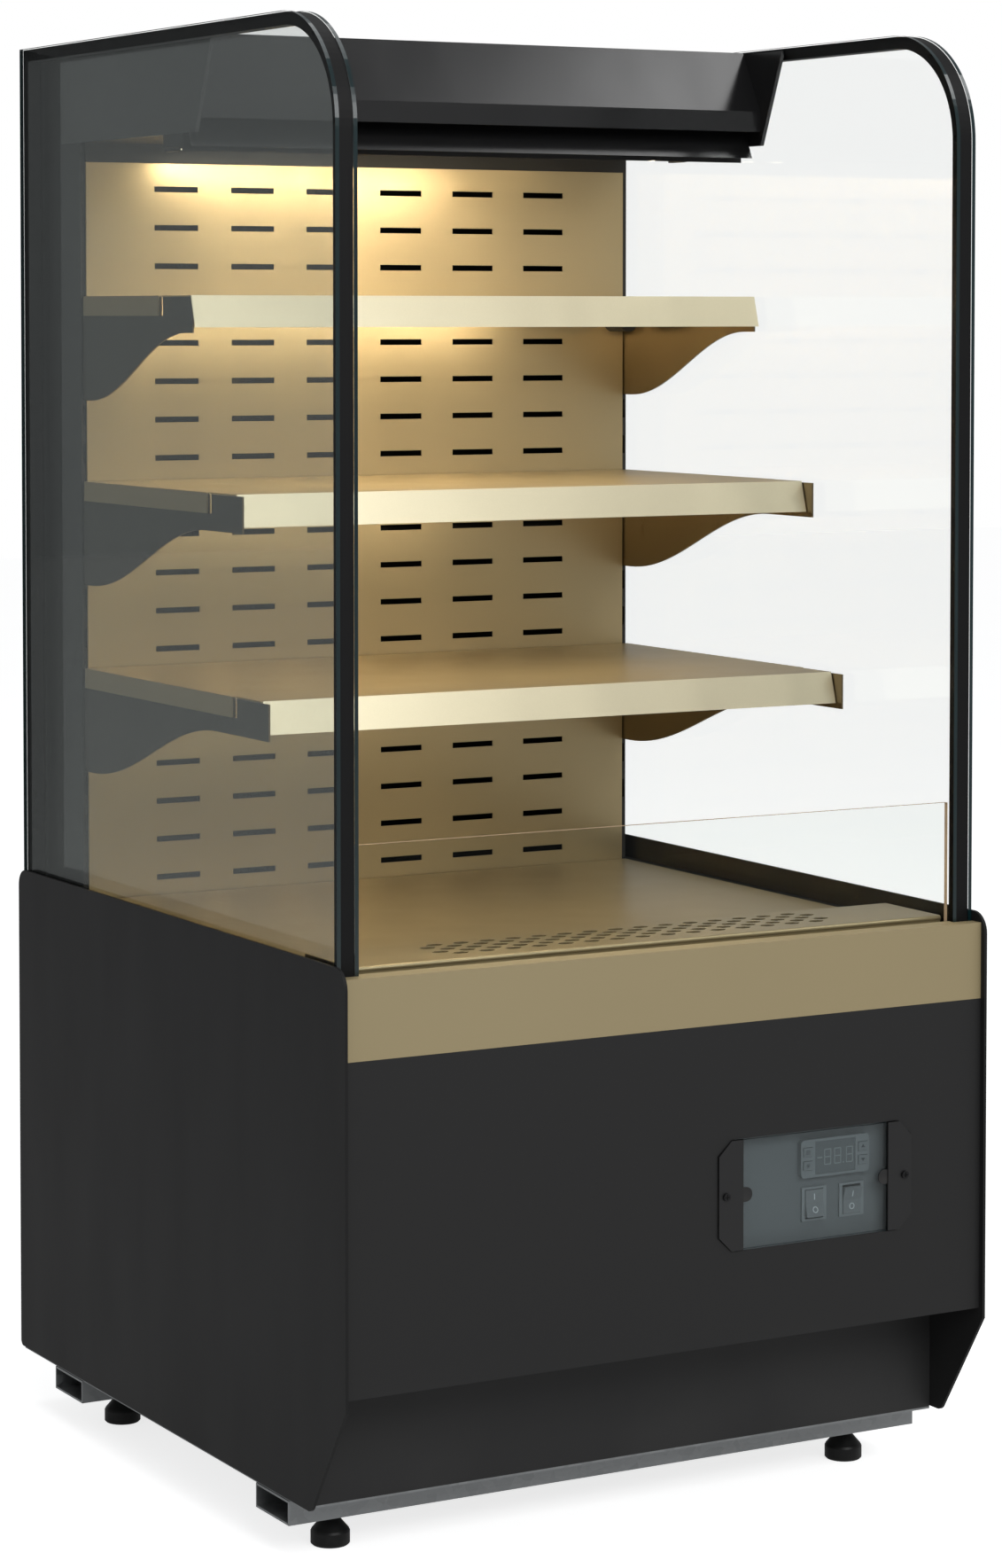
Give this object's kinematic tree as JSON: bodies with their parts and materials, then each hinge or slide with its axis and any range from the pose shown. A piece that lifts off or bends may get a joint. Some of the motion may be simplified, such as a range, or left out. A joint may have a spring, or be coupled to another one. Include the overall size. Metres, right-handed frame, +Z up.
{
  "type": "refrigerated display case",
  "caption": "Open-front refrigerated bakery display case with glass sides, shelves on a slotted back, a canopy and a machine base on levelling feet.",
  "frame": {"origin": "on the floor at the middle of the outside box", "axes": "+X to the right seen from the open front, -Y out of the open front towards the customer, +Z up"},
  "size_m": [0.7, 0.75, 1.418],
  "materials": {
    "black_powder_coat": "satin",
    "gloss_black": "gloss",
    "gold_powder_coat": "satin",
    "bronze_bracket": "satin",
    "zinc_steel": "satin",
    "foot_rubber": "matte",
    "insulated_wall": "satin",
    "foam_liner": "matte",
    "clear_glass": "gloss",
    "control_glazing": "gloss",
    "spacer_black": "satin",
    "honeycomb_plastic": "matte",
    "lamp_diffuser": "matte",
    "control_tray_grey": "satin",
    "control_black": "satin",
    "display_glass": "gloss",
    "machine_black": "satin",
    "fin_aluminium": "satin",
    "copper_tube": "satin"
  },
  "bodies": {
    "cabinet": {"base_rails": "zinc_steel", "base_pan": "zinc_steel", "side_panel_left": "black_powder_coat", "side_panel_right": "black_powder_coat", "front_panel": "black_powder_coat", "front_strip": "gold_powder_coat", "kick_plate": "black_powder_coat", "rear_cover": "black_powder_coat", "rear_wall": "insulated_wall", "insulated_tub": "foam_liner", "guard_glass": "clear_glass", "back_panel": "gold_powder_coat", "shelf_uprights": "black_powder_coat", "side_glass_panes": "clear_glass", "side_glass_spacers": "spacer_black", "canopy_ends": "black_powder_coat", "canopy_shell": "black_powder_coat", "canopy_fascia": "black_powder_coat", "air_deflector": "gloss_black", "air_outlet_honeycomb": "honeycomb_plastic", "canopy_lamp": "lamp_diffuser", "control_tray": "control_tray_grey", "controller_body": "control_black", "controller_display": "display_glass", "rocker_frames": "control_black", "compressor": "machine_black", "condenser": "fin_aluminium", "condenser_fan_motor": "machine_black", "evaporator": "fin_aluminium", "refrigerant_pipes": "copper_tube", "mains_inlet": "control_black"},
    "foot_front_left_body": {"foot_front_left": "foot_rubber"},
    "foot_front_right_body": {"foot_front_right": "foot_rubber"},
    "foot_rear_left_body": {"foot_rear_left": "foot_rubber"},
    "foot_rear_right_body": {"foot_rear_right": "foot_rubber"},
    "shelf_lower": {"shelf_lower_plate": "gold_powder_coat", "shelf_lower_brackets": "bronze_bracket", "shelf_lower_price_rail": "gold_powder_coat", "shelf_lower_lamp": "lamp_diffuser"},
    "shelf_middle": {"shelf_middle_plate": "gold_powder_coat", "shelf_middle_brackets": "bronze_bracket", "shelf_middle_price_rail": "gold_powder_coat", "shelf_middle_lamp": "lamp_diffuser"},
    "shelf_upper": {"shelf_upper_plate": "gold_powder_coat", "shelf_upper_brackets": "bronze_bracket", "shelf_upper_price_rail": "gold_powder_coat", "shelf_upper_lamp": "lamp_diffuser"},
    "deck_tray_body": {"deck_tray": "gold_powder_coat"},
    "grille_body": {"air_return_grille": "gold_powder_coat"},
    "control_cover": {"control_window": "control_glazing", "control_ears": "control_black", "control_screws": "zinc_steel"},
    "key_set": {"button_set": "control_black"},
    "key_up": {"button_up": "control_black"},
    "key_down": {"button_down": "control_black"},
    "key_defrost": {"button_defrost": "control_black"},
    "power_switch": {"rocker_power": "control_black"},
    "light_switch": {"rocker_light": "control_black"},
    "condenser_rotor": {"condenser_fan": "machine_black"},
    "evaporator_rotor": {"evaporator_fan": "machine_black"}
  },
  "joints": [
    {"name": "foot_front_left_screw", "type": "hinge", "parent": "cabinet", "child": "foot_front_left_body", "pos_m": [-0.288, -0.222, 0.02], "axis": [0, 0, 1], "continuous": true},
    {"name": "foot_front_right_screw", "type": "hinge", "parent": "cabinet", "child": "foot_front_right_body", "pos_m": [0.288, -0.222, 0.02], "axis": [0, 0, 1], "continuous": true},
    {"name": "foot_rear_left_screw", "type": "hinge", "parent": "cabinet", "child": "foot_rear_left_body", "pos_m": [-0.288, 0.253, 0.02], "axis": [0, 0, 1], "continuous": true},
    {"name": "foot_rear_right_screw", "type": "hinge", "parent": "cabinet", "child": "foot_rear_right_body", "pos_m": [0.288, 0.253, 0.02], "axis": [0, 0, 1], "continuous": true},
    {"name": "shelf_lower_unhook", "type": "slide", "parent": "cabinet", "child": "shelf_lower", "axis": [0, 0, 1], "range_m": [0, 0.012]},
    {"name": "shelf_middle_unhook", "type": "slide", "parent": "cabinet", "child": "shelf_middle", "axis": [0, 0, 1], "range_m": [0, 0.012]},
    {"name": "shelf_upper_unhook", "type": "slide", "parent": "cabinet", "child": "shelf_upper", "axis": [0, 0, 1], "range_m": [0, 0.012]},
    {"name": "deck_tray_lift", "type": "slide", "parent": "cabinet", "child": "deck_tray_body", "axis": [0, 0, 1], "range_m": [0, 0.09]},
    {"name": "grille_lift", "type": "slide", "parent": "cabinet", "child": "grille_body", "axis": [0, 0, 1], "range_m": [0, 0.09]},
    {"name": "control_cover_off", "type": "slide", "parent": "cabinet", "child": "control_cover", "axis": [0, -1, 0], "range_m": [0, 0.06]},
    {"name": "key_set_press", "type": "slide", "parent": "cabinet", "child": "key_set", "axis": [0, 1, 0], "range_m": [0, 0.0008], "stiffness_N_per_m": 400},
    {"name": "key_up_press", "type": "slide", "parent": "cabinet", "child": "key_up", "axis": [0, 1, 0], "range_m": [0, 0.0008], "stiffness_N_per_m": 400},
    {"name": "key_down_press", "type": "slide", "parent": "cabinet", "child": "key_down", "axis": [0, 1, 0], "range_m": [0, 0.0008], "stiffness_N_per_m": 400},
    {"name": "key_defrost_press", "type": "slide", "parent": "cabinet", "child": "key_defrost", "axis": [0, 1, 0], "range_m": [0, 0.0008], "stiffness_N_per_m": 400},
    {"name": "power_rocker", "type": "hinge", "parent": "cabinet", "child": "power_switch", "pos_m": [0.1615, -0.354, 0.2965], "axis": [1, 0, 0], "range_deg": [0, 16]},
    {"name": "light_rocker", "type": "hinge", "parent": "cabinet", "child": "light_switch", "pos_m": [0.2045, -0.354, 0.2965], "axis": [1, 0, 0], "range_deg": [-16, 0]},
    {"name": "condenser_fan_spin", "type": "hinge", "parent": "cabinet", "child": "condenser_rotor", "pos_m": [-0.15, -0.13, 0.174], "axis": [0, 1, 0], "continuous": true},
    {"name": "evaporator_fan_spin", "type": "hinge", "parent": "cabinet", "child": "evaporator_rotor", "pos_m": [0, -0.025, 0.4645], "axis": [0, 1, 0], "continuous": true}
  ]
}
